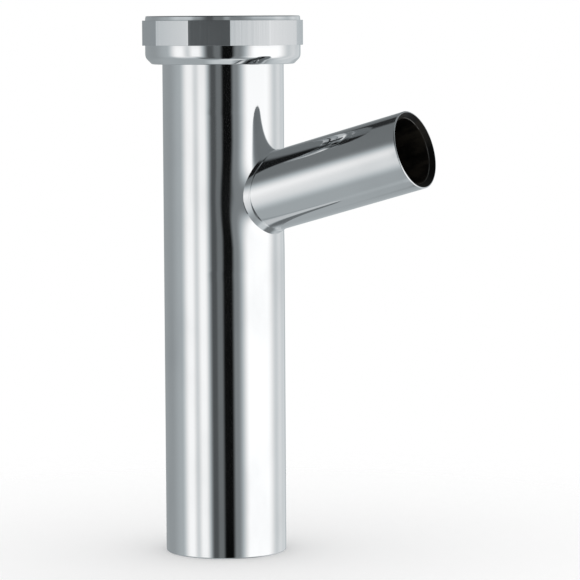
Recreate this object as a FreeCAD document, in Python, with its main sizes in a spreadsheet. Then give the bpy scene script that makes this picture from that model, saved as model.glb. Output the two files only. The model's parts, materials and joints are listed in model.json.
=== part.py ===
import FreeCAD
import Part
import Sketcher
import os

# Tail pipe for a basin waste: a flanged tube with a side branch, a captive union nut and a seal.
# Sizes are in millimetres and degrees. The tube stands on its lower end at the origin, its axis is Z,
# and the branch rises towards +X.

DIMENSIONS = [
    # Main tube: outside, wall, free length under the nut, and the eased edge at its lower end
    ("tube_diameter", 40.0),
    ("tube_wall", 1.0),
    ("tube_free_length", 161.7),
    ("tube_end_chamfer", 0.3),
    # Flange turned out of the tube's upper end, with the radius of its bend
    ("flange_reach", 2.125),
    ("flange_thickness", 1.2),
    ("flange_bend_radius", 0.35),
    # Branch: its axis meets the tube's axis branch_drop below the nut and rises by branch_rise over the level
    ("branch_diameter", 25.5),
    ("branch_wall", 2.0),
    ("branch_drop", 47.0),
    ("branch_rise", 15.5),
    ("branch_reach", 74.5),
    # Mouth of the branch: an eased outer edge and a wide bevel inside
    ("branch_end_chamfer", 0.25),
    ("branch_mouth_bevel", 1.6),
    # Collar pulled out of the tube's side, into which the branch is brazed
    ("collar_height", 1.9),
    ("collar_wall", 0.25),
    ("collar_root_radius", 0.15),
    # Union nut, from its chamfered underside up to its lip
    ("nut_height", 15.8),
    ("nut_wall", 1.6),
    ("nut_band_step", 0.15),
    ("nut_flat_count", 12),
    ("nut_turn", 21.7),
    ("nut_lip_height", 1.45),
    ("nut_flat_height", 8.2),
    ("nut_base_chamfer", 2.2),
    ("nut_shoulder", 2.2),
    ("nut_tube_clearance", 0.4),
    ("nut_bend_clearance", 0.15),
    # Pipe thread inside the nut: it clears the flange, and a turned relief below it passes its roots
    ("thread_flange_clearance", 0.3),
    ("thread_depth", 1.475),
    ("thread_relief_depth", 0.1),
    ("thread_entry_chamfer", 0.9),
    # Seal on the flange
    ("washer_thickness", 2.4),
    ("washer_thread_clearance", 0.2),
    ("washer_bore_clearance", 0.2),
    ("washer_head_room", 0.5),
]

# Places and radii that follow from the driving dimensions
TUBE_OUTER = "(dims.tube_diameter / 2)"
TUBE_BORE = "(%s - dims.tube_wall)" % TUBE_OUTER
NUT_FLOOR = "(dims.tube_free_length + dims.nut_shoulder)"
FLANGE_TOP = "(%s + dims.flange_thickness)" % NUT_FLOOR
FLANGE_OUTER = "(%s + dims.flange_reach)" % TUBE_OUTER
BRANCH_HEIGHT = "(dims.tube_free_length - dims.branch_drop)"
BRANCH_OUTER = "(dims.branch_diameter / 2)"
BRANCH_BORE = "(%s - dims.branch_wall)" % BRANCH_OUTER
COLLAR_OUTER = "(%s + dims.collar_wall)" % BRANCH_OUTER
COLLAR_REACH = "(%s + dims.collar_height)" % TUBE_OUTER
THREAD_CREST = "(%s + dims.thread_flange_clearance)" % FLANGE_OUTER
THREAD_FOOT = "(%s + dims.washer_thickness + dims.washer_head_room)" % FLANGE_TOP
RELIEF_OUTER = "(%s + dims.thread_depth + dims.thread_relief_depth)" % THREAD_CREST
NUT_TOP = "(dims.tube_free_length + dims.nut_height)"
NUT_ROUND = "(%s + dims.nut_wall)" % RELIEF_OUTER
NUT_FLAT = "(%s + dims.nut_band_step)" % NUT_ROUND
NUT_CORNER = "(%s / cos(180 deg / dims.nut_flat_count))" % NUT_FLAT
NUT_BAND_TOP = "(%s - dims.nut_lip_height)" % NUT_TOP
NUT_BAND_FOOT = "(%s - dims.nut_flat_height)" % NUT_BAND_TOP
NUT_HOLE = "(%s + dims.nut_tube_clearance)" % TUBE_OUTER
NUT_HOLE_EASE = "(dims.flange_bend_radius + dims.nut_bend_clearance)"

doc = FreeCAD.newDocument("tail_pipe")
sheet = doc.addObject("Spreadsheet::Sheet", "dims")
for row, (alias, value) in enumerate(DIMENSIONS, start=1):
    sheet.set("A%d" % row, alias)
    sheet.set("B%d" % row, str(value))
    sheet.setAlias("B%d" % row, alias)
doc.recompute()


def size(expression):
    """The number that an expression over the sheet gives now."""
    return float(sheet.evalExpression(expression))


def origin_plane(body, role):
    """One of a body's own origin planes."""
    return next(feature for feature in body.Origin.OriginFeatures if feature.Role == role)


def section_sketch(body, name, corners, role="XZ_Plane"):
    """A closed outline on an origin plane, each corner held at two distances from the origin."""
    sketch = body.newObject("Sketcher::SketchObject", name)
    sketch.AttachmentSupport = [(origin_plane(body, role), "")]
    sketch.MapMode = "FlatFace"
    points = [FreeCAD.Vector(size(across), size(up), 0) for across, up in corners]
    for first, second in zip(points, points[1:] + points[:1]):
        sketch.addGeometry(Part.LineSegment(first, second), False)
    for line in range(len(corners)):
        sketch.addConstraint(Sketcher.Constraint("Coincident", line, 2, (line + 1) % len(corners), 1))
    for line, distances in enumerate(corners):
        for kind, expression in zip(("DistanceX", "DistanceY"), distances):
            limit = Sketcher.Constraint(kind, -1, 1, line, 1, size(expression))
            sketch.setExpression("Constraints[%d]" % sketch.addConstraint(limit), expression)
    return sketch


def turned_body(name, corners):
    """A body turned about its own Z axis from half of its section."""
    body = doc.addObject("PartDesign::Body", name)
    sketch = section_sketch(body, name + "_section", corners)
    turn = body.newObject("PartDesign::Revolution", name + "_turn")
    turn.Profile = sketch
    turn.ReferenceAxis = (sketch, ["V_Axis"])
    turn.Angle = 360
    doc.recompute()
    return body


def round_edges(shape, radius, height):
    """Names of the level circular edges of one radius at one height."""
    names = []
    for number, edge in enumerate(shape.Edges, start=1):
        circle = edge.Curve
        if not isinstance(circle, Part.Circle):
            continue
        if abs(circle.Radius - radius) < 1e-6 and abs(circle.Center.z - height) < 1e-6:
            names.append("Edge%d" % number)
    return names


def rod(name, radius, length):
    """A cylinder standing on the origin."""
    solid = doc.addObject("Part::Cylinder", name)
    solid.setExpression("Radius", radius)
    solid.setExpression("Height", length)
    return solid


def lay_along_branch(piece):
    """Put a piece that stands on the origin where the two axes meet, pointing out along the branch."""
    piece.Placement = FreeCAD.Placement(FreeCAD.Vector(), FreeCAD.Rotation(FreeCAD.Vector(0, 1, 0), 1))
    piece.setExpression("Placement.Base.z", BRANCH_HEIGHT)
    piece.setExpression("Placement.Rotation.Angle", "90 - dims.branch_rise")
    return piece


def boolean(kind, name, base, tool):
    """A cut or a common of two objects."""
    result = doc.addObject("Part::" + kind, name)
    result.Base = base
    result.Tool = tool
    return result


# Main tube, turned: a thin wall with its upper end bent outwards into a flange
tube = turned_body("tube_blank", [
    (TUBE_BORE, "0"),
    (TUBE_OUTER + " - dims.tube_end_chamfer", "0"),
    (TUBE_OUTER, "dims.tube_end_chamfer"),
    (TUBE_OUTER, NUT_FLOOR),
    (FLANGE_OUTER, NUT_FLOOR),
    (FLANGE_OUTER, FLANGE_TOP),
    (TUBE_BORE, FLANGE_TOP),
])
# The bend keeps the wall's thickness, so its inside is larger than its outside by the wall
tube_turn = tube.Tip
bend_inside = tube.newObject("PartDesign::Fillet", "bend_inside")
bend_inside.Base = (tube_turn, round_edges(tube_turn.Shape, size(TUBE_BORE), size(FLANGE_TOP)))
bend_inside.setExpression("Radius", "dims.flange_bend_radius + dims.tube_wall")
doc.recompute()
bend_outside = tube.newObject("PartDesign::Fillet", "bend_outside")
bend_outside.Base = (bend_inside, round_edges(bend_inside.Shape, size(TUBE_OUTER), size(NUT_FLOOR)))
bend_outside.setExpression("Radius", "dims.flange_bend_radius")
doc.recompute()

# Collar: a stub on the branch's axis that ends at one distance from the tube's axis all round
collar_stub = lay_along_branch(rod("collar_stub", COLLAR_OUTER, "dims.branch_reach"))
collar_limit = rod("collar_limit", COLLAR_REACH, "dims.tube_free_length")
collar = boolean("Common", "collar", collar_stub, collar_limit)
tube_with_collar = boolean("Fuse", "tube_with_collar", tube, collar)
doc.recompute()


def on_both_cylinders(edge, tube_radius, branch_radius):
    """True where an edge runs along the crossing of a tube cylinder and a branch cylinder."""
    meeting = collar_stub.Placement.Base
    along = collar_stub.Placement.Rotation.multVec(FreeCAD.Vector(0, 0, 1))
    for share in (0.1, 0.5, 0.9):
        first, last = edge.ParameterRange
        point = edge.valueAt(first + share * (last - first))
        off_tube = FreeCAD.Vector(point.x, point.y, 0).Length - tube_radius
        off_branch = (point - meeting).cross(along).Length - branch_radius
        if max(abs(off_tube), abs(off_branch)) > 1e-3:
            return False
    return True


# The collar rises from the tube's side out of a small hollow radius
collar_root = doc.addObject("Part::Fillet", "collar_root")
collar_root.Base = tube_with_collar
collar_root.Edges = [
    (number, size("dims.collar_root_radius"), size("dims.collar_root_radius"))
    for number, edge in enumerate(tube_with_collar.Shape.Edges, start=1)
    if on_both_cylinders(edge, size(TUBE_OUTER), size(COLLAR_OUTER))
]

# The bore runs through, and the side hole takes the branch
bore = rod("bore", TUBE_BORE, FLANGE_TOP)
bored_tube = boolean("Cut", "bored_tube", collar_root, bore)
branch_hole = lay_along_branch(rod("branch_hole", BRANCH_OUTER, "dims.branch_reach"))
main_tube = boolean("Cut", "main_tube", bored_tube, branch_hole)

# Branch, turned as a plain tube from the meeting point outwards, then cut to the curve of the main bore
branch = lay_along_branch(turned_body("branch_blank", [
    (BRANCH_BORE, "0"),
    (BRANCH_OUTER, "0"),
    (BRANCH_OUTER, "dims.branch_reach - dims.branch_end_chamfer"),
    (BRANCH_OUTER + " - dims.branch_end_chamfer", "dims.branch_reach"),
    (BRANCH_BORE + " + dims.branch_mouth_bevel", "dims.branch_reach"),
    (BRANCH_BORE, "dims.branch_reach - dims.branch_mouth_bevel"),
]))
branch_trim = rod("branch_trim", TUBE_BORE, FLANGE_TOP)
branch_tube = boolean("Cut", "branch_tube", branch, branch_trim)

# Union nut, turned: chamfered skirt, proud band, lip; shoulder, relief and thread wall inside
nut = turned_body("union_nut", [
    (NUT_HOLE, "dims.tube_free_length"),
    (NUT_ROUND + " - dims.nut_base_chamfer", "dims.tube_free_length"),
    (NUT_ROUND, "dims.tube_free_length + dims.nut_base_chamfer"),
    (NUT_ROUND, NUT_BAND_FOOT),
    (NUT_CORNER, NUT_BAND_FOOT),
    (NUT_CORNER, NUT_BAND_TOP),
    (NUT_ROUND, NUT_BAND_TOP),
    (NUT_ROUND, NUT_TOP),
    (THREAD_CREST + " + dims.thread_entry_chamfer", NUT_TOP),
    (THREAD_CREST, NUT_TOP + " - dims.thread_entry_chamfer"),
    (THREAD_CREST, THREAD_FOOT),
    (RELIEF_OUTER, THREAD_FOOT),
    (RELIEF_OUTER, NUT_FLOOR),
    (NUT_HOLE + " + " + NUT_HOLE_EASE, NUT_FLOOR),
    (NUT_HOLE, NUT_FLOOR + " - " + NUT_HOLE_EASE),
])
# One flat is milled off the band, as wide as the band's corner circle, and repeated round the axis
flat_outline = section_sketch(nut, "flat_outline", [
    (NUT_FLAT, NUT_BAND_FOOT),
    (NUT_CORNER + " + dims.nut_band_step", NUT_BAND_FOOT),
    (NUT_CORNER + " + dims.nut_band_step", NUT_BAND_TOP),
    (NUT_FLAT, NUT_BAND_TOP),
])
volume_before = nut.Shape.Volume
flat = nut.newObject("PartDesign::Pocket", "flat")
flat.Profile = flat_outline
flat.Midplane = True
flat.setExpression("Length", NUT_CORNER)
doc.recompute()
flats = nut.newObject("PartDesign::PolarPattern", "flats")
flats.Originals = [flat]
flats.Axis = (flat_outline, ["V_Axis"])
flats.Angle = 360
flats.setExpression("Occurrences", "dims.nut_flat_count")
nut.Tip = flats
nut.setExpression("Placement.Rotation.Angle", "dims.nut_turn")
doc.recompute()
if nut.Shape.Volume >= volume_before:
    raise RuntimeError("the flats removed nothing from the nut")

# Seal: a flat ring that lies on the flange, inside the thread and clear of the bore
washer = turned_body("flange_washer", [
    (TUBE_BORE + " + dims.washer_bore_clearance", FLANGE_TOP),
    (THREAD_CREST + " - dims.washer_thread_clearance", FLANGE_TOP),
    (THREAD_CREST + " - dims.washer_thread_clearance", FLANGE_TOP + " + dims.washer_thickness"),
    (TUBE_BORE + " + dims.washer_bore_clearance", FLANGE_TOP + " + dims.washer_thickness"),
])
doc.recompute()

# Every object has to have built, and every piece has to be a sound solid
for item in doc.Objects:
    if "Invalid" in item.State or "Error" in item.State:
        raise RuntimeError("%s did not build" % item.Label)
pieces = [main_tube, branch_tube, nut, washer]
for piece in pieces:
    if piece.Shape.isNull() or not piece.Shape.isValid() or len(piece.Shape.Solids) != 1:
        raise RuntimeError("%s is not one sound solid" % piece.Label)

os.makedirs("parts", exist_ok=True)
for piece in pieces:
    piece.Shape.exportStep("parts/%s.step" % piece.Label)
    box = piece.Shape.BoundBox
    print("%-14s %9.1f mm3  z %.2f to %.2f" % (piece.Label, piece.Shape.Volume, box.ZMin, box.ZMax))
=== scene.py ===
# %% [markdown]
# # Dressing a basin waste tail pipe
#
# The object is a short piece of chromed brass waste pipe. A straight tube hangs under a basin, a thinner
# branch rises from its side to take a hose, and a loose union nut at the top pulls a flange and a rubber
# ring up against the waste above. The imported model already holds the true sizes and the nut's hinge, so the
# first step only loads it and keeps its box: everything made later has to stay inside that box.

# %% Load the frame
import json
import bmesh
import bpy
import numpy as np
from mathutils import Matrix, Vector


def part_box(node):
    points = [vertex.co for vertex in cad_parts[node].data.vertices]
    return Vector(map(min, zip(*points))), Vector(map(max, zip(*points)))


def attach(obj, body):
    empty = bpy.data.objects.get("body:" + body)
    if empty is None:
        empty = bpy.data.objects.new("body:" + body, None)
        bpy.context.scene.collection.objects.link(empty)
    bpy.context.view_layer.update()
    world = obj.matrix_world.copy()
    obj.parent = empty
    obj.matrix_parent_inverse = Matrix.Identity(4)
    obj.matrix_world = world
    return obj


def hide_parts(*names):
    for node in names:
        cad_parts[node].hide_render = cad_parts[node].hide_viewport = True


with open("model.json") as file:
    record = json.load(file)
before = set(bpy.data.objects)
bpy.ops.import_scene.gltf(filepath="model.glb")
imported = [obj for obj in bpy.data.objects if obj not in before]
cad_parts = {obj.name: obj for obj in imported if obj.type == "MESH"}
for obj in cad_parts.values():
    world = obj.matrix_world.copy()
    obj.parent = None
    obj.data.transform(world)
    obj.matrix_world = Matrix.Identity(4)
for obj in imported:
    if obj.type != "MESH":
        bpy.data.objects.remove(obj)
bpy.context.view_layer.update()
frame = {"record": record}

# %% [markdown]
# ## Measures
#
# A size that the frame knows is read from it: radii and axes from the mounts, heights from the boxes of the
# nodes. Only the small sizes that no mount states are written here, once, in millimetres.

# %% Sizes from the frame
MM = 0.001
mounts = {mount["name"]: mount for mount in frame["record"]["mounts"]}
TUBE = mounts["outlet_spigot"]["dims"]["r_mm"] * MM
BORE = mounts["waste_bore"]["dims"]["r_mm"] * MM
BRANCH = mounts["branch_spigot"]["dims"]["r_mm"] * MM
BRANCH_BORE = mounts["branch_bore"]["dims"]["r_mm"] * MM
THREAD_CREST = mounts["nut_thread"]["dims"]["r_mm"] * MM

along_branch = np.array(mounts["branch_spigot"]["axis"])
mouth = np.array(mounts["branch_spigot"]["pos_m"])
branch_length = mouth[0] / along_branch[0]
meeting = mouth - branch_length * along_branch

flange_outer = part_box("main_tube")[1].y
pipe_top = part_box("main_tube")[1].z
nut_foot, nut_top = (corner.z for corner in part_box("union_nut"))
washer_foot, washer_top = (corner.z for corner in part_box("flange_washer"))
washer_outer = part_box("flange_washer")[1].y
print("branch: %.2f mm long, meets the tube at %.2f mm" % (branch_length / MM, meeting[2] / MM))

# %% [markdown]
# ## From a grid of points to a piece
#
# Every piece below is a surface: a grid of points that a formula gives, one row per step along a section and
# one column per step round an axis. Primitives and modifiers could rough out a tube, but polished chrome
# shows each small fault of a mesh as a bent reflection, so the points are worked out exactly, with numpy,
# as whole arrays. Two small helpers turn such grids into faces and into a piece that rides on a body.

# %% Grids, faces and pieces
WELD = 0.0005 * MM
SHARP_EDGE = np.radians(40)


def grid_faces(rows, columns, closed_rows):
    """Quads (row, column), (row, next), (next row, next), (next row, column); the columns close round."""
    row, column = np.indices((rows if closed_rows else rows - 1, columns))
    next_row, next_column = (row + 1) % rows, (column + 1) % columns
    corners = [(row, column), (row, next_column), (next_row, next_column), (next_row, column)]
    return np.stack([r * columns + c for r, c in corners], axis=-1)


def turned(radius, height, angle):
    """Points of a turned surface: x = radius cos(angle), y = radius sin(angle), z = height."""
    return np.stack(np.broadcast_arrays(radius * np.cos(angle), radius * np.sin(angle), height), axis=-1)


def make_piece(name, grids, node, body):
    """Weld grids of points into one smooth piece that stands for a node and rides on a body."""
    counts = [points.reshape(-1, 3).shape[0] for points, faces in grids]
    firsts = np.cumsum([0] + counts[:-1])
    points = np.concatenate([points.reshape(-1, 3) for points, faces in grids])
    faces = np.concatenate([faces.reshape(-1, 4) + first for (_, faces), first in zip(grids, firsts)])
    mesh = bpy.data.meshes.new(name)
    mesh.from_pydata(points.tolist(), [], faces.tolist())
    welder = bmesh.new()
    welder.from_mesh(mesh)
    bmesh.ops.remove_doubles(welder, verts=welder.verts, dist=WELD)
    open_edges = sum(not edge.is_manifold for edge in welder.edges)
    welder.to_mesh(mesh)
    welder.free()
    mesh.shade_smooth()
    mesh.set_sharp_from_angle(angle=SHARP_EDGE)
    piece = bpy.data.objects.new(name, mesh)
    bpy.context.scene.collection.objects.link(piece)
    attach(piece, body)
    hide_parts(node)
    print("%s: %d faces, %d open edges" % (name, len(mesh.polygons), open_edges))
    return piece


print("grids are welded within %.4f mm" % (WELD / MM))

# %% [markdown]
# ## Soft edges
#
# No edge of a plated part is truly sharp: polishing takes it off and the plating rounds it further, and the
# thin bright line along it is what makes metal look like metal. A Bevel modifier could do this, but here
# each section is a short outline already, so its corners are eased before it is carried round.

# %% Easing the corners of an outline
EASE_STEPS = 9


def eased(corners, ease):
    """Replace each corner of a closed outline by a small curve, as an array (corner, step, 2).

    The curve leaves one side at the distance ease before the corner and joins the other as far after it:
    (1 - t)^2 start + 2 t (1 - t) corner + t^2 end.
    """
    corners = np.array(corners)
    ease = np.array(ease)[:, None]
    back = np.roll(corners, 1, axis=0) - corners
    ahead = np.roll(corners, -1, axis=0) - corners
    start = corners + back / np.linalg.norm(back, axis=1, keepdims=True) * ease
    end = corners + ahead / np.linalg.norm(ahead, axis=1, keepdims=True) * ease
    t = np.linspace(0, 1, EASE_STEPS)[None, :, None]
    return (1 - t) ** 2 * start[:, None] + 2 * t * (1 - t) * corners[:, None] + t ** 2 * end[:, None]


def steps_between(start, end, count):
    """Evenly spaced points from start to end, with both ends left out."""
    share = np.linspace(0, 1, count + 2)[1:-1, None]
    return np.array(start) + share * (np.array(end) - np.array(start))


print("each eased corner is a curve of %d points" % EASE_STEPS)

# %% [markdown]
# ## The main tube: its turned wall
#
# The tube is a drawn brass tube with a 1 mm wall. Its lower end is sawn square and deburred, and its upper
# end is spun outwards into a flange. All of that is one closed section turned round Z. The walls get rows
# of their own, evenly spaced where the side branch comes out, because a window is left open there.

# %% Section of the main tube
END_CHAMFER = 0.3 * MM
DEBURRED = 0.12 * MM
FLANGE_THICK = 1.2 * MM
FLANGE_BEND = 0.35 * MM
TUBE_COLUMNS = 144
WINDOW_COLUMNS = 30
WINDOW_LOW, WINDOW_HIGH, WINDOW_ROWS = 94 * MM, 146 * MM, 53
ROWS_BELOW, ROWS_ABOVE = 24, 6
flange_foot = pipe_top - FLANGE_THICK
wall = TUBE - BORE

bends = eased(
    [(BORE, 0), (TUBE - END_CHAMFER, 0), (TUBE, END_CHAMFER), (TUBE, flange_foot),
     (flange_outer, flange_foot), (flange_outer, pipe_top), (BORE, pipe_top)],
    [DEBURRED, DEBURRED, DEBURRED, FLANGE_BEND, FLANGE_BEND, FLANGE_BEND, FLANGE_BEND + wall],
)
window_heights = np.linspace(WINDOW_LOW, WINDOW_HIGH, WINDOW_ROWS)
outer_window = np.stack([np.full(WINDOW_ROWS, TUBE), window_heights], axis=1)
inner_window = np.stack([np.full(WINDOW_ROWS, BORE), window_heights[::-1]], axis=1)
tube_section = np.concatenate([
    bends[:3].reshape(-1, 2),
    steps_between((TUBE, END_CHAMFER), (TUBE, WINDOW_LOW), ROWS_BELOW),
    outer_window,
    steps_between((TUBE, WINDOW_HIGH), (TUBE, flange_foot), ROWS_ABOVE),
    bends[3:].reshape(-1, 2),
    steps_between((BORE, flange_foot), (BORE, WINDOW_HIGH), ROWS_ABOVE),
    inner_window,
    steps_between((BORE, WINDOW_LOW), (BORE, END_CHAMFER), ROWS_BELOW),
])
print("tube section: %d points" % len(tube_section))

# %% Turn the wall and leave the window open
tube_angles = np.arange(TUBE_COLUMNS) * 2 * np.pi / TUBE_COLUMNS
window_angle = WINDOW_COLUMNS * 2 * np.pi / TUBE_COLUMNS


def inside(values, low, high):
    """True for each step whose two ends both lie between low and high."""
    within = (values > low - WELD) & (values < high + WELD)
    return within & np.roll(within, -1)


tube_points = turned(tube_section[:, :1], tube_section[:, 1:], tube_angles)
tube_faces = grid_faces(len(tube_section), TUBE_COLUMNS, closed_rows=True)
centred_angles = (tube_angles + np.pi) % (2 * np.pi) - np.pi
open_rows = inside(tube_section[:, 1], WINDOW_LOW, WINDOW_HIGH)
open_columns = inside(centred_angles, -window_angle, window_angle)
tube_faces = tube_faces[~(open_rows[:, None] & open_columns[None, :])]
print("window: %d faces left out of each wall" % (open_rows.sum() // 2 * open_columns.sum()))

# %% [markdown]
# ## The main tube: its side port
#
# The branch doesn't just touch the tube. A low collar is pulled out of the tube's wall, the branch goes into
# it, and braze runs into the seam. Pulling draws the wall in a little beside the collar, rather under the
# branch's middle than over it, and that bends the reflections there. The collar itself is fuller under the
# branch, where the wall is stretched least. A boolean would cut a port in one step, but it leaves long thin
# triangles that spoil a mirror finish. Here the whole port is one grid instead. Its rows run from the outer
# window down to the collar's root, over its rim and back through the hole to the window in the bore.

# %% A point beside the branch
side = np.array([0.0, 1.0, 0.0])
rise = np.cross(along_branch, side)


def beside_branch(turn, distance, reach):
    """The point at one distance from the branch's axis and one reach from the tube's axis.

    It starts beside the meeting point, o = meeting + distance (cos(turn) side + sin(turn) rise), and slides
    out along the branch by the t that solves |o_xy + t b_xy| = reach, a quadratic equation in t.
    """
    turn, distance, reach = np.broadcast_arrays(turn, distance, reach)
    offset = np.cos(turn)[..., None] * side + np.sin(turn)[..., None] * rise
    start = meeting + distance[..., None] * offset
    a = along_branch[0] ** 2
    half_b = start[..., 0] * along_branch[0]
    c = start[..., 0] ** 2 + start[..., 1] ** 2 - reach ** 2
    slide = (np.sqrt(half_b ** 2 - a * c) - half_b) / a
    return start + slide[..., None] * along_branch


junction_top = beside_branch(np.pi / 2, BRANCH, TUBE)
print("the branch's upper side leaves the tube at %.2f mm" % (junction_top[2] / MM))

# %% Section of the collar
COLLAR_STEP = 0.12 * MM
COLLAR_SWELL = 0.85 * MM
COLLAR_HEIGHT = 2.25 * MM
COLLAR_RIM = 0.55 * MM
COLLAR_SINK = 0.02 * MM
COLLAR_ROWS = 6
RIM_ROWS = 13

# The stand is 1 up the collar's wall, falls to 0 over its rounded rim and stays 0 through the hole
rim_share = np.linspace(0, 1, RIM_ROWS)
rim_stand = 0.5 + 0.5 * np.cos(np.pi * rim_share)
collar_stand = np.concatenate([np.ones(COLLAR_ROWS), rim_stand, [0.0]])[:, None]
collar_reach = np.concatenate([
    np.linspace(0, COLLAR_HEIGHT - COLLAR_RIM, COLLAR_ROWS + 1)[:-1],
    COLLAR_HEIGHT - COLLAR_RIM * (1 - rim_share),
    [-wall],
])[:, None]


def collar_distance(turn, stand, reach):
    """Distance of the collar's surface from the branch's axis.

    It is the branch, plus what the collar stands proud: the step, and below the branch also a swell that
    tapers off, swell sin(turn)^2 (1 - reach / height). Where it stands 0, it is sunk a hair into the branch.
    """
    below = np.clip(-np.sin(turn), 0, 1) ** 2
    taper = np.where(stand > 0, 1 - reach / COLLAR_HEIGHT, 0)
    return BRANCH - COLLAR_SINK + stand * (COLLAR_SINK + COLLAR_STEP) + COLLAR_SWELL * below * taper


print("collar section: %d points" % len(collar_stand))

# %% Round the window's rim
window_angles = np.linspace(-window_angle, window_angle, 2 * WINDOW_COLUMNS + 1)
rim_angle = np.concatenate([
    np.full(WINDOW_ROWS - 1, window_angle), window_angles[:0:-1],
    np.full(WINDOW_ROWS - 1, -window_angle), window_angles[:-1],
])
rim_height = np.concatenate([
    window_heights[:-1], np.full(2 * WINDOW_COLUMNS, WINDOW_HIGH),
    window_heights[:0:-1], np.full(2 * WINDOW_COLUMNS, WINDOW_LOW),
])
port_height = meeting[2] + TUBE * along_branch[2] / along_branch[0]
port_turn = np.arctan2(rim_height - port_height, TUBE * rim_angle)
print("window's rim: %d points round a port at %.2f mm" % (len(port_turn), port_height / MM))

# %% The port as one grid
PORT_ROWS = 24
PORT_CROWDING = 1.4
DRAWN_IN = 0.17 * MM
DRAWN_LOW = 0.8
DRAWN_SPREAD = 12 * MM
HOLLOW_PEAK = 27 / 256


def wall_round_port(edge, radius, drawn_in, share):
    """Rows on a wall between the port's edge and the window: angle and height are mixed by the share.

    The wall is drawn in by depth cos(turn)^2 (1 - low sin(turn)) s (1 - s)^3 / peak, where s is the distance
    from the edge over the spread and the peak is the most that s (1 - s)^3 reaches, at a quarter of the way.
    So it is drawn in beside the branch, not above or below it, and rather under its middle than over it.
    """
    share = share[:, None]
    edge_angle = np.arctan2(edge[:, 1], edge[:, 0])
    swing = rim_angle - edge_angle
    climb = rim_height - edge[:, 2]
    s = np.minimum(share * np.hypot(radius * swing, climb) / DRAWN_SPREAD, 1)
    beside = np.cos(port_turn) ** 2 * (1 - DRAWN_LOW * np.sin(port_turn))
    hollow = drawn_in * beside * s * (1 - s) ** 3 / HOLLOW_PEAK
    return turned(radius - hollow, edge[:, 2] + share * climb, edge_angle + share * swing)


collar_from_axis = collar_distance(port_turn, collar_stand, collar_reach)
collar_points = beside_branch(port_turn, collar_from_axis, TUBE + collar_reach)
away = np.linspace(1, 0, PORT_ROWS) ** PORT_CROWDING
port_points = np.concatenate([
    wall_round_port(collar_points[0], TUBE, DRAWN_IN, away[:-1]),
    collar_points,
    wall_round_port(collar_points[-1], BORE, 0.0, away[-2::-1]),
])
port_faces = grid_faces(len(port_points), len(port_turn), closed_rows=False)
main_tube = make_piece(
    "chromed_main_tube", [(tube_points, tube_faces), (port_points, port_faces)],
    "main_tube", "pipe",
)

# %% [markdown]
# ## The branch
#
# The branch is a second, thinner tube with a stouter wall. Its inner end is cut to the curve of the main
# bore, so its length differs all round. Its mouth is square, with an eased outer edge and a wide bevel
# inside. Each row of the grid has its own distance from the branch's axis, and runs from the curved end to
# the mouth by its share of the way.

# %% Branch tube
MOUTH_CHAMFER = 0.25 * MM
MOUTH_BEVEL = 1.6 * MM
MOUTH_EASE = 0.06 * MM
BEVEL_EASE = 0.12 * MM
BRANCH_COLUMNS = 128
BRANCH_STEPS = 24
branch_turn = np.arange(BRANCH_COLUMNS) * 2 * np.pi / BRANCH_COLUMNS

# The first two corners only give the walls their direction: the curved end takes their place
mouth_corners = eased(
    [(BRANCH_BORE, 0), (BRANCH, 0), (BRANCH, branch_length - MOUTH_CHAMFER),
     (BRANCH - MOUTH_CHAMFER, branch_length), (BRANCH_BORE + MOUTH_BEVEL, branch_length),
     (BRANCH_BORE, branch_length - MOUTH_BEVEL)],
    [MOUTH_EASE] * 5 + [BEVEL_EASE],
)
mouth_rows = mouth_corners[2:].reshape(-1, 2)
outward = np.linspace(0, 1, BRANCH_STEPS)[:-1]
row_distance = np.concatenate(
    [np.full(len(outward), BRANCH), mouth_rows[:, 0], np.full(len(outward), BRANCH_BORE)]
)[:, None]
row_end = np.concatenate(
    [np.full(len(outward), mouth_rows[0, 1]), mouth_rows[:, 1], np.full(len(outward), mouth_rows[-1, 1])]
)[:, None]
row_share = np.concatenate([outward, np.ones(len(mouth_rows)), outward[::-1]])[:, None]


def branch_surface(turn, distance, end, share):
    """A point of the branch: the curved end at the bore and the straight end are mixed by the share."""
    inner_end = beside_branch(turn, distance, BORE)
    offset = np.cos(turn)[..., None] * side + np.sin(turn)[..., None] * rise
    outer_end = meeting + distance[..., None] * offset + end[..., None] * along_branch
    return inner_end + share[..., None] * (outer_end - inner_end)


branch_points = branch_surface(branch_turn[None, :], row_distance, row_end, row_share)
branch_faces = grid_faces(len(branch_points), BRANCH_COLUMNS, closed_rows=True)
branch_tube = make_piece(
    "chromed_branch_tube", [(branch_points, branch_faces)], "branch_tube", "pipe",
)

# %% [markdown]
# ## The union nut: twelve flats
#
# The nut is turned from brass bar and its band is then milled with twelve flats for a wrench. The band is
# the only part that isn't round, so the nut is still one turned grid: in the band's rows the radius changes
# with the angle. Columns crowd together at the corners, where a tiny arc joins two flats, and each flat has
# a column close to that arc which keeps the corner crisp. The buffing wheel takes a little more off beside
# the corners than in the middle, so a flat is crowned by a few hundredths of a millimetre.

# %% Radius of the band
FLATS = 12
NUT_TURN = np.radians(21.7)
NUT_ROUND = 25.6 * MM
NUT_FLAT = 25.75 * MM
FLAT_CROWN = 0.06 * MM
CORNER_ARC = 0.3 * MM
NEAR_CORNER = np.array([0.5, 1.0, 2.5])
ACROSS_FLAT = np.radians([1.25, 2.5, 5, 7.5, 10, 12.5])
ROUNDING_ROOM = 1.001
half_flat = np.pi / FLATS

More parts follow.
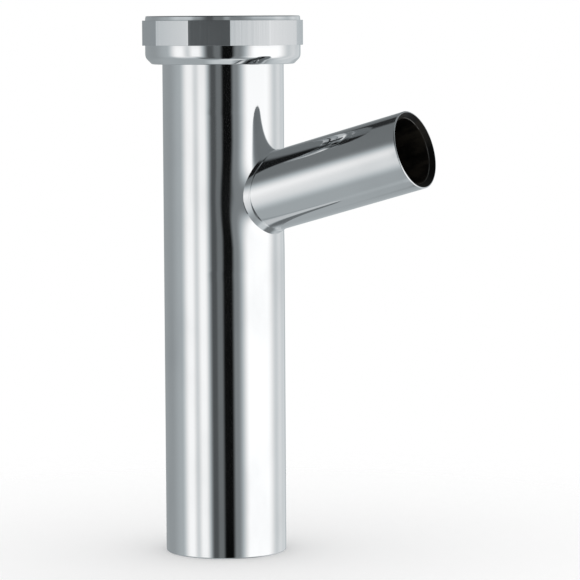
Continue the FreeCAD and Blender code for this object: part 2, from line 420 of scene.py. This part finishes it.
arc_centre = (NUT_FLAT - CORNER_ARC) / np.cos(half_flat)
arc_end = np.arctan2(CORNER_ARC * np.sin(half_flat), arc_centre + CORNER_ARC * np.cos(half_flat))
one_side = np.concatenate([arc_end * NEAR_CORNER, ACROSS_FLAT])
from_corner = np.concatenate([-one_side[::-1], [0.0], one_side, [half_flat]])
corner_angles = NUT_TURN + half_flat + np.arange(FLATS) * 2 * half_flat
nut_angles = (corner_angles[:, None] + from_corner).ravel()
from_corner = np.tile(from_corner, FLATS)


def band_radius(off):
    """Radius of the band at an angle off its nearest corner.

    On a flat it is apothem / cos(angle off the flat's middle). Within the corner's arc it is where the ray
    meets that circle: centre cos(off) + sqrt(arc^2 - centre^2 sin^2(off)). The crown takes off more with
    the square of the distance from the flat's middle.
    """
    off_middle = half_flat - np.abs(off)
    flat = NUT_FLAT / np.cos(off_middle)
    sine = np.clip(arc_centre * np.sin(off), -CORNER_ARC, CORNER_ARC)
    arc = arc_centre * np.cos(off) + np.sqrt(CORNER_ARC ** 2 - sine ** 2)
    crown = FLAT_CROWN * (np.tan(off_middle) / np.tan(half_flat)) ** 2
    return np.where(np.abs(off) < arc_end * ROUNDING_ROOM, arc, flat) - crown


band = band_radius(from_corner)
print("band: %.2f mm over flats, %.2f mm over corners" % (2 * band.min() / MM, 2 * band.max() / MM))

# %% [markdown]
# ## The union nut: thread and section
#
# Inside, the nut has the parallel pipe thread of a waste fitting, eleven turns to the inch with rounded
# crests and roots. A thread can be made with a Screw modifier, but as a radius that depends on both angle
# and height it is simply more rows of the same grid. It needs no seam, and it runs out by itself into the
# turned relief below and the entry chamfer above. Outside, the section is a chamfered foot, a short skirt,
# the band and a lip that tapers by a hair.

# %% Thread radius
THREAD_PITCH = 25.4 / 11 * MM
THREAD_DEPTH = 1.475 * MM
THREAD_ENTRY = 0.9 * MM
THREAD_ROUNDING = 0.95
THREAD_STEP = 0.12 * MM
RELIEF = 24.0 * MM
RELIEF_HEIGHT = 4.1 * MM
nut_floor = flange_foot
thread_foot = nut_floor + RELIEF_HEIGHT


def thread_radius(height, angle):
    """Crest plus depth times a rounded triangle wave of the phase, height / pitch - angle / one turn.

    The wave is arcsin(k sin(2 pi phase)) / arcsin(k): a triangle for k = 1, with rounded tips below that.
    The entry chamfer opens the thread where it is wider than the wave.
    """
    phase = height / THREAD_PITCH - angle / (2 * np.pi)
    wave = np.arcsin(THREAD_ROUNDING * np.sin(2 * np.pi * phase)) / np.arcsin(THREAD_ROUNDING)
    groove = THREAD_CREST + THREAD_DEPTH * (0.5 + 0.5 * wave)
    return np.maximum(groove, THREAD_CREST + THREAD_ENTRY - (nut_top - height))


thread_rows = int(round((nut_top - thread_foot) / THREAD_STEP))
thread_heights = np.linspace(nut_top, thread_foot, thread_rows)[:, None]
print("thread: %d rows, %.1f turns" % (thread_rows, (nut_top - thread_foot) / THREAD_PITCH))

# %% Heights and corners of the nut
NUT_CHAMFER = 2.2 * MM
NUT_HOLE = 20.4 * MM
HOLE_EASE = 0.5 * MM
LIP_HEIGHT = 1.45 * MM
LIP_TAPER = 0.15 * MM
BAND_HEIGHT = 8.2 * MM
NUT_EASE = 0.15 * MM
BASE_EASE = 0.5 * MM
SKIRT_EASE = 1.1 * MM
LIP_EASE = 0.45 * MM
band_top = nut_top - LIP_HEIGHT
band_foot = band_top - BAND_HEIGHT
skirt_foot = nut_foot + NUT_CHAMFER

# The fifth corner only gives the top its direction: the thread takes its place
nut_corners = eased(
    [(NUT_HOLE, nut_foot), (NUT_ROUND - NUT_CHAMFER, nut_foot), (NUT_ROUND, skirt_foot),
     (NUT_ROUND - LIP_TAPER, nut_top), (RELIEF, nut_top), (RELIEF, nut_floor),
     (NUT_HOLE + HOLE_EASE, nut_floor), (NUT_HOLE, nut_floor - HOLE_EASE)],
    [NUT_EASE, BASE_EASE, SKIRT_EASE, LIP_EASE, NUT_EASE, NUT_EASE, NUT_EASE, NUT_EASE],
)
print("nut: skirt up to %.2f mm, flats up to %.2f mm" % (band_foot / MM, band_top / MM))

# %% Rows of the nut
BAND_EASE = 0.1 * MM
BAND_HOLD = 0.06 * MM
EDGE_STEPS = 7
BAND_ROWS = 6
quarter = np.linspace(0, np.pi / 2, EDGE_STEPS)
edge_in = BAND_EASE * (1 - np.sin(quarter))[:, None]
edge_up = BAND_EASE * (1 - np.cos(quarter))[:, None]
band_margin = BAND_EASE + BAND_HOLD
band_middle = np.linspace(band_foot + band_margin, band_top - band_margin, BAND_ROWS)[:, None]


def round_rows(section):
    """Turned rows from an outline of (radius, height) points."""
    return turned(section[:, :1], section[:, 1:], nut_angles)


skirt = np.array([(NUT_ROUND, skirt_foot + SKIRT_EASE + BAND_HOLD), (NUT_ROUND, band_foot)])
lip_foot = np.array([(NUT_ROUND, band_top)])
relief_top = np.array([(RELIEF, thread_foot)])
nut_points = np.concatenate([
    round_rows(nut_corners[:3].reshape(-1, 2)),
    round_rows(skirt),
    turned(band - edge_in, band_foot + edge_up, nut_angles),
    turned(band, band_middle, nut_angles),
    turned(band - edge_in[::-1], band_top - edge_up[::-1], nut_angles),
    round_rows(lip_foot),
    round_rows(nut_corners[3]),
    turned(thread_radius(thread_heights, nut_angles), thread_heights, nut_angles),
    round_rows(relief_top),
    round_rows(nut_corners[5:].reshape(-1, 2)),
])
nut_faces = grid_faces(len(nut_points), len(nut_angles), closed_rows=True)
union_nut = make_piece("chromed_union_nut", [(nut_points, nut_faces)], "union_nut", "nut")

# %% [markdown]
# ## The rubber washer
#
# The washer lies on the flange inside the nut. It is stamped from sheet rubber, so its faces are flat and
# its edges only slightly rounded. One eased outline turned round Z is enough.

# %% Washer
WASHER_SET_BACK = 0.2 * MM
WASHER_EASE = 0.3 * MM
washer_bore = BORE + WASHER_SET_BACK
washer_section = eased(
    [(washer_bore, washer_foot), (washer_outer, washer_foot),
     (washer_outer, washer_top), (washer_bore, washer_top)],
    [WASHER_EASE] * 4,
).reshape(-1, 2)
washer_points = turned(washer_section[:, :1], washer_section[:, 1:], tube_angles)
washer_faces = grid_faces(len(washer_section), TUBE_COLUMNS, closed_rows=True)
flange_washer = make_piece(
    "rubber_flange_washer", [(washer_points, washer_faces)], "flange_washer", "pipe",
)

# %% [markdown]
# ## Shader maths
#
# A finish is a little formula over the surface: distance from an axis, noise, lines. Typing such formulas as
# boxes and wires is slow to read, so one small class wraps a socket and lets Python's operators add the Math
# nodes. Every other node comes from its one method, which sets the node's settings before its inputs.

# %% A socket that can be used in an expression
class Wire:
    """An output socket of a node tree, usable in Python expressions on values."""

    def __init__(self, tree, socket=None):
        self.tree = tree
        self.socket = socket

    def node(self, kind, settings=None, inputs=None, output=0):
        """Add a node: settings first, then values or links of its inputs; gives one of its outputs."""
        made = self.tree.nodes.new(kind)
        for name, value in (settings or {}).items():
            setattr(made, name, value)
        for name, value in (inputs or {}).items():
            if isinstance(value, Wire):
                self.tree.links.new(value.socket, made.inputs[name])
            else:
                made.inputs[name].default_value = value
        return Wire(self.tree, made.outputs[output] if len(made.outputs) else None)

    def maths(self, operation, first, second):
        """Add a Math node on two values or wires."""
        return self.node("ShaderNodeMath", {"operation": operation}, {0: first, 1: second})

    def __add__(self, other):
        return self.maths("ADD", self, other)

    def __radd__(self, other):
        return self.maths("ADD", other, self)

    def __sub__(self, other):
        return self.maths("SUBTRACT", self, other)

    def __rsub__(self, other):
        return self.maths("SUBTRACT", other, self)

    def __mul__(self, other):
        return self.maths("MULTIPLY", self, other)

    def __rmul__(self, other):
        return self.maths("MULTIPLY", other, self)


print("sockets can be added, subtracted and multiplied")

# %% Nodes that the finishes share
def smooth_step(value, low, high):
    """0 below low, 1 above high, with a smooth rise between them."""
    return value.node(
        "ShaderNodeMapRange", {"interpolation_type": "SMOOTHSTEP"},
        {"Value": value, "From Min": low, "From Max": high},
    )


def mix_colours(factor, first, second):
    """A colour between two colours, each written as three numbers or given by a wire."""
    first, second = (end if isinstance(end, Wire) else (*end, 1.0) for end in (first, second))
    inputs = {0: factor, 6: first, 7: second}
    return factor.node("ShaderNodeMix", {"data_type": "RGBA"}, inputs, output=2)


def noise(place, scale, detail=2.0, roughness=0.5):
    """Soft noise about 0.5; the scale is in features to a metre, one number for each axis."""
    across = place.node("ShaderNodeVectorMath", {"operation": "MULTIPLY"}, {0: place, 1: scale})
    return place.node(
        "ShaderNodeTexNoise", None,
        {"Vector": across, "Scale": 1.0, "Detail": detail, "Roughness": roughness},
    )


def new_finish(name):
    """A new material, its Principled shader and a wire with the piece's own coordinates."""
    material = bpy.data.materials.new(name)
    material.use_nodes = True
    tree = material.node_tree
    place = Wire(tree).node("ShaderNodeTexCoord", None, None, "Object")
    return material, tree.nodes["Principled BSDF"], place


def feed(shader, name, wire):
    """Link a wire to an input of a shader."""
    wire.tree.links.new(wire.socket, shader.inputs[name])


def bumped(height, strength, depth):
    """A normal that follows a height between 0 and 1, as deep as depth."""
    inputs = {"Strength": strength, "Distance": depth, "Height": height}
    return height.node("ShaderNodeBump", None, inputs, "Normal")


print("shader helpers are ready")

# %% [markdown]
# ## Chrome
#
# Bright chrome is a thin, slightly blue metal over polished brass. Its colour hardly changes, and what the
# eye reads is its gloss: faint lines from drawing and polishing that run along the tube, and patches of a
# soft haze, which crowd together towards the branch's mouth, where hoses are pushed on. The plating doesn't
# reach far inside. The bare wall there is dull and tarnished, and its colour is darkened further with painted
# shade; the bevel of the mouth is painted darker still as shade, and a thin line at its inner edge is a
# painted highlight. Image textures could carry all this, but masks worked out from the distance to the axis
# stay sharp at any zoom. One function serves both tubes, each turned to its own axis.

# %% Distances that the finishes use
def off_axis(place):
    """Distance of the point from the Z axis of the coordinates."""
    flat = place.node("ShaderNodeVectorMath", {"operation": "MULTIPLY"}, {0: place, 1: (1, 1, 0)})
    return flat.node("ShaderNodeVectorMath", {"operation": "LENGTH"}, {0: flat}, "Value")


def along(vector, axis):
    """How far a vector reaches along an axis."""
    settings = {"operation": "DOT_PRODUCT"}
    return vector.node("ShaderNodeVectorMath", settings, {0: vector, 1: tuple(axis)}, "Value")


BRANCH_TILT = np.arctan2(along_branch[0], along_branch[2])
print("branch axis leans %.2f degrees from Z" % np.degrees(BRANCH_TILT))

# %% Colours and grain of the chrome
CHROME_BRIGHT = (0.752, 0.760, 0.767)
CHROME_HAZE = (0.697, 0.706, 0.714)
# Painted shade: the bore's colours are dull tarnish, darkened further so the inside of each tube reads as
# shaded.
BORE_TARNISH_AND_SHADE = (0.036, 0.034, 0.031)
BORE_STAIN_AND_SHADE = (0.080, 0.070, 0.056)
# Painted shade: the mouth's bevel is painted nearly black, standing for the shade in the mouth.
BEVEL_PAINTED_SHADE = (0.009, 0.009, 0.009)
BEVEL_STAIN_AND_SHADE = (0.024, 0.022, 0.019)
# Painted highlight: a paler line along the bevel's inner edge, standing for the light that edge catches.
PAINTED_EDGE_HIGHLIGHT = (0.13, 0.127, 0.122)
PLATE_EDGE = 0.06 * MM
HIGHLIGHT_START, HIGHLIGHT_FULL = 0.01 * MM, 0.05 * MM
HIGHLIGHT_FADE, HIGHLIGHT_END = 0.15 * MM, 0.25 * MM
HAZE_SCALE = (55, 55, 28)
HAZE_LOW, HAZE_HIGH = 0.45, 0.72
STAIN_SCALE = (180, 180, 70)
STAIN_LOW, STAIN_HIGH = 0.40, 0.65
DRAWN_SCALE = (2600, 2600, 45)
HOSE_END = (24 * MM, 66 * MM)
HOSE_HAZE = 0.24
HOSE_CLEAR = 0.14
POLISH, HAZE_DULLS, LINES_DULL = 0.035, 0.035, 0.03
BARE_DULL, STAIN_DULLS = 0.34, 0.16
LINE_DEPTH = 0.01 * MM
print("haze patches about %.0f mm across" % (1 / HAZE_SCALE[0] / MM))

# %% Chrome for the two tubes
def chrome_tube_finish(name, bore, bare_to, origin, tilt, handled=None):
    """Chrome outside, a dull bare wall inside; the axis is Z after moving to the origin and tilting by Y.

    Patches of haze crowd together along the stretch that is handled, from its start to its end. Inside,
    the bare wall's colour is darkened with painted shade, the bevel's more so, and a painted highlight
    runs along the bevel's inner edge.
    """
    material, shader, place = new_finish(name)
    place = place.node(
        "ShaderNodeMapping", {"vector_type": "TEXTURE"},
        {"Vector": place, "Location": tuple(origin), "Rotation": (0.0, tilt, 0.0)},
    )
    radius = off_axis(place)
    inner = 1 - smooth_step(radius, bare_to - PLATE_EDGE, bare_to + PLATE_EDGE)
    past_edge = smooth_step(radius, bore + HIGHLIGHT_START, bore + HIGHLIGHT_FULL)
    # Painted highlight: a thin band just past the bore's edge.
    edge_highlight = past_edge - smooth_step(radius, bore + HIGHLIGHT_FADE, bore + HIGHLIGHT_END)
    patches = noise(place, HAZE_SCALE, detail=3.0)
    if handled:
        patches = patches + HOSE_HAZE * smooth_step(along(place, (0, 0, 1)), *handled) - HOSE_CLEAR
    haze = smooth_step(patches, HAZE_LOW, HAZE_HIGH)
    drawn = noise(place, DRAWN_SCALE)
    stain = smooth_step(noise(place, STAIN_SCALE, detail=4.0, roughness=0.6), STAIN_LOW, STAIN_HIGH)
    plated = mix_colours(haze, CHROME_BRIGHT, CHROME_HAZE)
    # Painted shade: the bare wall inside, tarnish darkened further.
    bore_tarnish_and_shade = mix_colours(stain, BORE_TARNISH_AND_SHADE, BORE_STAIN_AND_SHADE)
    # Painted shade: the bevel, nearly black.
    bevel_shade_colour = mix_colours(stain, BEVEL_PAINTED_SHADE, BEVEL_STAIN_AND_SHADE)
    # Painted highlight along the bevel's inner edge.
    edge_highlight_colour = mix_colours(stain, PAINTED_EDGE_HIGHLIGHT, BEVEL_STAIN_AND_SHADE)
    bare_shade_and_highlight = mix_colours(edge_highlight, mix_colours(past_edge, bore_tarnish_and_shade, bevel_shade_colour), edge_highlight_colour)
    polish = POLISH + HAZE_DULLS * haze + LINES_DULL * drawn
    feed(shader, "Base Color", mix_colours(inner, plated, bare_shade_and_highlight))
    feed(shader, "Roughness", polish + inner * (BARE_DULL + STAIN_DULLS * stain))
    feed(shader, "Normal", bumped(drawn, strength=0.05, depth=LINE_DEPTH))
    shader.inputs["Metallic"].default_value = 1.0
    return material


tube_chrome = chrome_tube_finish("polished_chrome_tube", BORE, BORE + DEBURRED, (0.0, 0.0, 0.0), 0.0)
branch_chrome = chrome_tube_finish(
    "polished_chrome_branch", BRANCH_BORE, BRANCH_BORE + MOUTH_BEVEL, meeting, BRANCH_TILT, HOSE_END,
)
main_tube.data.materials.append(tube_chrome)
branch_tube.data.materials.append(branch_chrome)
print("chrome on", main_tube.name, "and", branch_tube.name)

# %% [markdown]
# ## The nut's finish
#
# The nut's round parts are as bright as the tube, but its flats keep the marks of the milling cutter, fine
# upright lines under the plating, and are a little duller for them. The flats could be given a material of
# their own by face, but a mask needs no list of faces: the distance from the axis is larger on the band than
# on the skirt and the lip. Inside, the plating thins out in the thread and the brass shows through as a
# warmer, duller metal.

# %% Chrome for the nut
CHROME_MILLED = (0.655, 0.668, 0.680)
THIN_PLATE = (0.47, 0.43, 0.36)
BRASS_SHADE = (0.34, 0.28, 0.19)
MILLED_START, MILLED_FULL = 0.02 * MM, 0.12 * MM
THREAD_FADE = 0.5 * MM
NUT_HAZE_SCALE = (70, 70, 50)
CUTTER_SCALE = (1100, 1100, 14)
WORN_SCALE = (260, 260, 260)
WORN_LOW, WORN_HIGH = 0.40, 0.66
NUT_POLISH, NUT_HAZE_DULLS = 0.045, 0.03
MILLED_DULL, CUTTER_DULLS, THREAD_DULL = 0.045, 0.06, 0.22
CUTTER_DEPTH = 0.03 * MM


def chrome_nut_finish(name):
    """Chrome with upright milling lines on the band and thin, dull plating inside."""
    material, shader, place = new_finish(name)
    radius = off_axis(place)
    height = along(place, (0, 0, 1))
    milled = smooth_step(radius, NUT_ROUND + MILLED_START, NUT_ROUND + MILLED_FULL)
    above_floor = smooth_step(height, nut_floor - NUT_EASE, nut_floor - PLATE_EDGE)
    thread = above_floor - above_floor * smooth_step(radius, RELIEF + PLATE_EDGE, RELIEF + THREAD_FADE)
    haze = smooth_step(noise(place, NUT_HAZE_SCALE, detail=3.0), HAZE_LOW, HAZE_HIGH)
    cutter = noise(place, CUTTER_SCALE, detail=3.0, roughness=0.6)
    worn = smooth_step(noise(place, WORN_SCALE, detail=4.0, roughness=0.6), WORN_LOW, WORN_HIGH)
    bright = mix_colours(haze, CHROME_BRIGHT, CHROME_HAZE)
    plated = mix_colours(milled, bright, CHROME_MILLED)
    dull = mix_colours(worn, THIN_PLATE, BRASS_SHADE)
    polish = NUT_POLISH + NUT_HAZE_DULLS * haze
    milled_gloss = milled * (MILLED_DULL + CUTTER_DULLS * cutter)
    feed(shader, "Base Color", mix_colours(thread, plated, dull))
    feed(shader, "Roughness", polish + milled_gloss + thread * THREAD_DULL)
    feed(shader, "Normal", bumped(cutter * milled, strength=0.5, depth=CUTTER_DEPTH))
    shader.inputs["Metallic"].default_value = 1.0
    return material


union_nut.data.materials.append(chrome_nut_finish("milled_chrome_nut"))
print("nut finish on", union_nut.name)

# %% [markdown]
# ## Rubber
#
# The washer is black rubber with a dry, slightly mottled skin: fine grain in the bump, a bloom of paler dust
# in the colour, and no shine worth the name. It hardly shows, so two layers of noise are enough.

# %% Black rubber
RUBBER_BLACK = (0.018, 0.018, 0.019)
RUBBER_BLOOM = (0.055, 0.054, 0.052)
BLOOM_SCALE = (220, 220, 220)
BLOOM_LOW, BLOOM_HIGH = 0.42, 0.70
GRAIN_SCALE = (2400, 2400, 2400)
GRAIN_DEPTH = 0.03 * MM
RUBBER_DULL, BLOOM_DULLS = 0.58, 0.18


def rubber_finish(name):
    """Dark rubber with a mottled bloom and a fine grain."""
    material, shader, place = new_finish(name)
    bloom = smooth_step(noise(place, BLOOM_SCALE, detail=4.0, roughness=0.6), BLOOM_LOW, BLOOM_HIGH)
    feed(shader, "Base Color", mix_colours(bloom, RUBBER_BLACK, RUBBER_BLOOM))
    feed(shader, "Roughness", RUBBER_DULL + BLOOM_DULLS * bloom)
    feed(shader, "Normal", bumped(noise(place, GRAIN_SCALE), strength=0.3, depth=GRAIN_DEPTH))
    return material


flange_washer.data.materials.append(rubber_finish("matt_black_rubber"))
print("rubber on", flange_washer.name)

# %% [markdown]
# ## The floor
#
# The pipe stands on its lower end on a plain pale sheet. The sheet only has to keep the soft shadow under
# the tube, so it fades out into the white surroundings a short way off instead of ending in a line. It is
# left out of reflections, because polished metal would otherwise show its edge as a false band.

# %% Floor sheet
FLOOR_HALF = 1.5
FLOOR_DROP = 0.02 * MM

# Three by three points; each of the four quads starts at one point and goes round by the same steps
across = np.linspace(-FLOOR_HALF, FLOOR_HALF, 3)
floor_x, floor_y = np.meshgrid(across, across)
floor_points = np.stack([floor_x, floor_y, np.full_like(floor_x, -FLOOR_DROP)], axis=-1).reshape(-1, 3)
quad_starts = np.array([0, 1, 3, 4])[:, None]
quad_steps = np.array([0, 1, 4, 3])
floor_faces = quad_starts + quad_steps
floor_mesh = bpy.data.meshes.new("floor_sheet")
floor_mesh.from_pydata(floor_points.tolist(), [], floor_faces.tolist())
floor = bpy.data.objects.new("floor_sheet", floor_mesh)
bpy.context.scene.collection.objects.link(floor)
floor.visible_glossy = False
print("floor sheet: %.1f m wide" % (2 * FLOOR_HALF))

# %% Floor finish
FLOOR_FADE_START, FLOOR_FADE_END = 0.06, 0.24
FLOOR_PALE = (0.985, 0.985, 0.985)
FLOOR_SHADE = (0.975, 0.975, 0.975)
MOTTLE_SCALE = (14, 14, 14)

floor_finish, floor_shader, floor_place = new_finish("pale_floor")
mottle = noise(floor_place, MOTTLE_SCALE, detail=3.0)
feed(floor_shader, "Base Color", mix_colours(mottle, FLOOR_SHADE, FLOOR_PALE))
floor_shader.inputs["Roughness"].default_value = 0.9
floor_shader.inputs["Specular IOR Level"].default_value = 0.0
far_off = smooth_step(off_axis(floor_place), FLOOR_FADE_START, FLOOR_FADE_END)
clear = far_off.node("ShaderNodeBsdfTransparent")
solid = Wire(floor_finish.node_tree, floor_shader.outputs[0])
faded = far_off.node("ShaderNodeMixShader", None, {0: far_off, 1: solid, 2: clear})
feed(floor_finish.node_tree.nodes["Material Output"], "Surface", faded)
floor_mesh.materials.append(floor_finish)
print("floor fades out %.2f m from the pipe" % FLOOR_FADE_END)

# %% [markdown]
# ## The camera
#
# The camera stands a metre off, to the branch's side and at the height of the nut, and looks slightly down
# with a long lens. Its place and turn were fitted to the outlines of the tube and the branch in the
# photograph. It could be aimed by a constraint, but a matrix built from three directions shows what a camera
# is: a right, an up and a backward axis, and a place.

# %% Camera
CAMERA_BEARING = np.radians(31.715)
CAMERA_DISTANCE = 1.0
CAMERA_HEIGHT = 0.17532
CAMERA_YAW, CAMERA_PITCH, CAMERA_ROLL = np.radians([1.243, 5.064, -0.31])
CAMERA_LENS = 187.67
IMAGE_SIZE = 580

to_camera = np.array([np.sin(CAMERA_BEARING), -np.cos(CAMERA_BEARING), 0.0])
to_right = np.array([np.cos(CAMERA_BEARING), np.sin(CAMERA_BEARING), 0.0])
to_up = np.array([0.0, 0.0, 1.0])
level_forward = np.sin(CAMERA_YAW) * to_right - np.cos(CAMERA_YAW) * to_camera
forward = np.cos(CAMERA_PITCH) * level_forward - np.sin(CAMERA_PITCH) * to_up
level_right = np.cross(level_forward, to_up)
level_up = np.cross(level_right, forward)
camera_right = np.cos(CAMERA_ROLL) * level_right + np.sin(CAMERA_ROLL) * level_up
camera_up = np.cos(CAMERA_ROLL) * level_up - np.sin(CAMERA_ROLL) * level_right
camera_place = CAMERA_DISTANCE * to_camera + CAMERA_HEIGHT * to_up

camera_data = bpy.data.cameras.new("camera")
camera_data.lens = CAMERA_LENS
camera = bpy.data.objects.new("camera", camera_data)
bpy.context.scene.collection.objects.link(camera)
axes = np.stack([camera_right, camera_up, -forward, camera_place], axis=1)
camera.matrix_world = Matrix(np.vstack([axes, [0.0, 0.0, 0.0, 1.0]]).tolist())
bpy.context.scene.camera = camera


def pixel(point):
    """Where a point lands in the square image, counted from its upper left corner."""
    offset = np.array(point) - camera_place
    scale = IMAGE_SIZE * CAMERA_LENS / camera_data.sensor_width / offset.dot(forward)
    centre = IMAGE_SIZE / 2
    return centre + scale * offset.dot(camera_right), centre - scale * offset.dot(camera_up)


print("foot at %.1f, %.1f; mouth at %.1f, %.1f" % (*pixel((0, 0, 0)), *pixel(mouth)))

# %% [markdown]
# ## The studio
#
# Chrome has no look of its own: it shows the room. The room here is a plain photographic studio, described
# by direction in the world's shader instead of as objects, so that it suits a view from any side. Bearing
# is counted from the camera, to the right, in degrees: two large soft boxes left and right, a dark gap with
# the camera in it, grey walls and a darker ceiling. The greys are a little cool and the soft boxes white.
# Only reflections see the studio. The camera itself sees white, and matt surfaces get an even soft light.

# %% Directions in the studio
world = bpy.data.worlds.new("studio")
world.use_nodes = True
bpy.context.scene.world = world
studio = Wire(world.node_tree)
direction = studio.node("ShaderNodeTexCoord", None, None, "Generated")


def in_degrees(operation, *values):
    """An angle in degrees from a Math node's arc function."""
    angle = studio.node("ShaderNodeMath", {"operation": operation}, dict(enumerate(values)))
    return angle * (180 / np.pi)


bearing = in_degrees("ARCTAN2", along(direction, to_right), along(direction, to_camera))
elevation = in_degrees("ARCSINE", along(direction, to_up))
print("studio directions are ready")

# %% Floor, walls and ceiling
def fade(level, next_level, value, edge, soft):
    """One level below an edge and the next level above it, with a fade as wide as soft."""
    return level + (next_level - level) * smooth_step(value, edge - soft / 2, edge + soft / 2)


UNDERFOOT, FLOOR_LEVEL = 0.73, 0.47
WALL_BEHIND, WALL_LEVEL = 0.38, 0.52
CEILING_LEVEL = 0.21

wall_level = fade(WALL_BEHIND, WALL_LEVEL, bearing, edge=-107, soft=35)
room = fade(UNDERFOOT, FLOOR_LEVEL, elevation, edge=-79, soft=10)
room = fade(room, wall_level, elevation, edge=-31, soft=30)
room = fade(room, CEILING_LEVEL, elevation, edge=16, soft=24)
print("studio: floor, walls and ceiling")

# %% Soft boxes and dark cards
def card(room, level, left, right, foot, head):
    """The room with a card in it: a patch of one level between two bearings and two elevations.

    Each of its four edges is a pair: where the edge lies and how wide its fade is, in degrees.
    """
    mask = fade(0, 1, bearing, *left) * fade(1, 0, bearing, *right)
    mask = mask * fade(0, 1, elevation, *foot) * fade(1, 0, elevation, *head)
    return room + (level - room) * mask


CARDS = [
    ("pale floor in front", 0.84, (-10, 20), (75, 20), (-85, 6), (-62, 14)),
    ("dark floor at the right", 0.23, (85, 14), (175, 10), (-80, 8), (-55, 14)),
    ("pale wall at the right", 0.77, (85, 10), (159, 14), (-45, 24), (10, 30)),
    ("paler strip on that wall", 0.87, (121, 14), (136, 14), (-45, 24), (10, 30)),
    ("dark curtain left of the camera", 0.10, (-45, 10), (0, 10), (-60, 30), (34, 20)),
    ("left soft box", 1.22, (-81.5, 22), (-30, 17), (-31, 46), (8, 30)),
    ("seam down the left soft box", 0.82, (-60, 11), (-48.8, 11), (-31, 46), (8, 30)),
    ("left side of the gap", 0.195, (-14, 6), (0, 6), (-60, 30), (34, 20)),
    ("right side of the gap", 0.27, (10, 6), (45, 10), (-60, 30), (34, 20)),
    ("dark gap with the camera", 0.004, (-3, 7), (16.7, 8), (-65, 30), (4, 6)),
    ("right soft box", 1.34, (37, 26), (101, 28), (-40, 22), (8, 30)),
    ("ceiling at the right", 0.26, (40, 40), (150, 30), (16, 24), (75, 20)),
    ("dark ceiling over the camera", 0.012, (-60, 12), (28, 40), (31, 10), (75, 20)),
    ("dark card high up behind", 0.03, (-163, 8), (-135, 12), (33, 6), (60, 10)),
]
for title, level, *edges in CARDS:
    room = card(room, level, *edges)
    print("studio:", title)

# %% Who sees what
WHITE = (1.0, 1.0, 1.0)
COOL_GREY = (0.925, 1.0, 1.035)
SOFT_LIGHT = 1.0
COOL_UP_TO, WHITE_FROM = 0.5, 1.1

glossy = studio.node("ShaderNodeLightPath", None, None, "Is Glossy Ray")
strength = SOFT_LIGHT + (room - SOFT_LIGHT) * glossy
cool = glossy - glossy * smooth_step(room, COOL_UP_TO, WHITE_FROM)
tint = mix_colours(cool, WHITE, COOL_GREY)
background = world.node_tree.nodes["Background"]
feed(background, "Color", tint)
feed(background, "Strength", strength)
bpy.context.scene.view_settings.view_transform = "Standard"
print("white to the camera, studio to reflections")
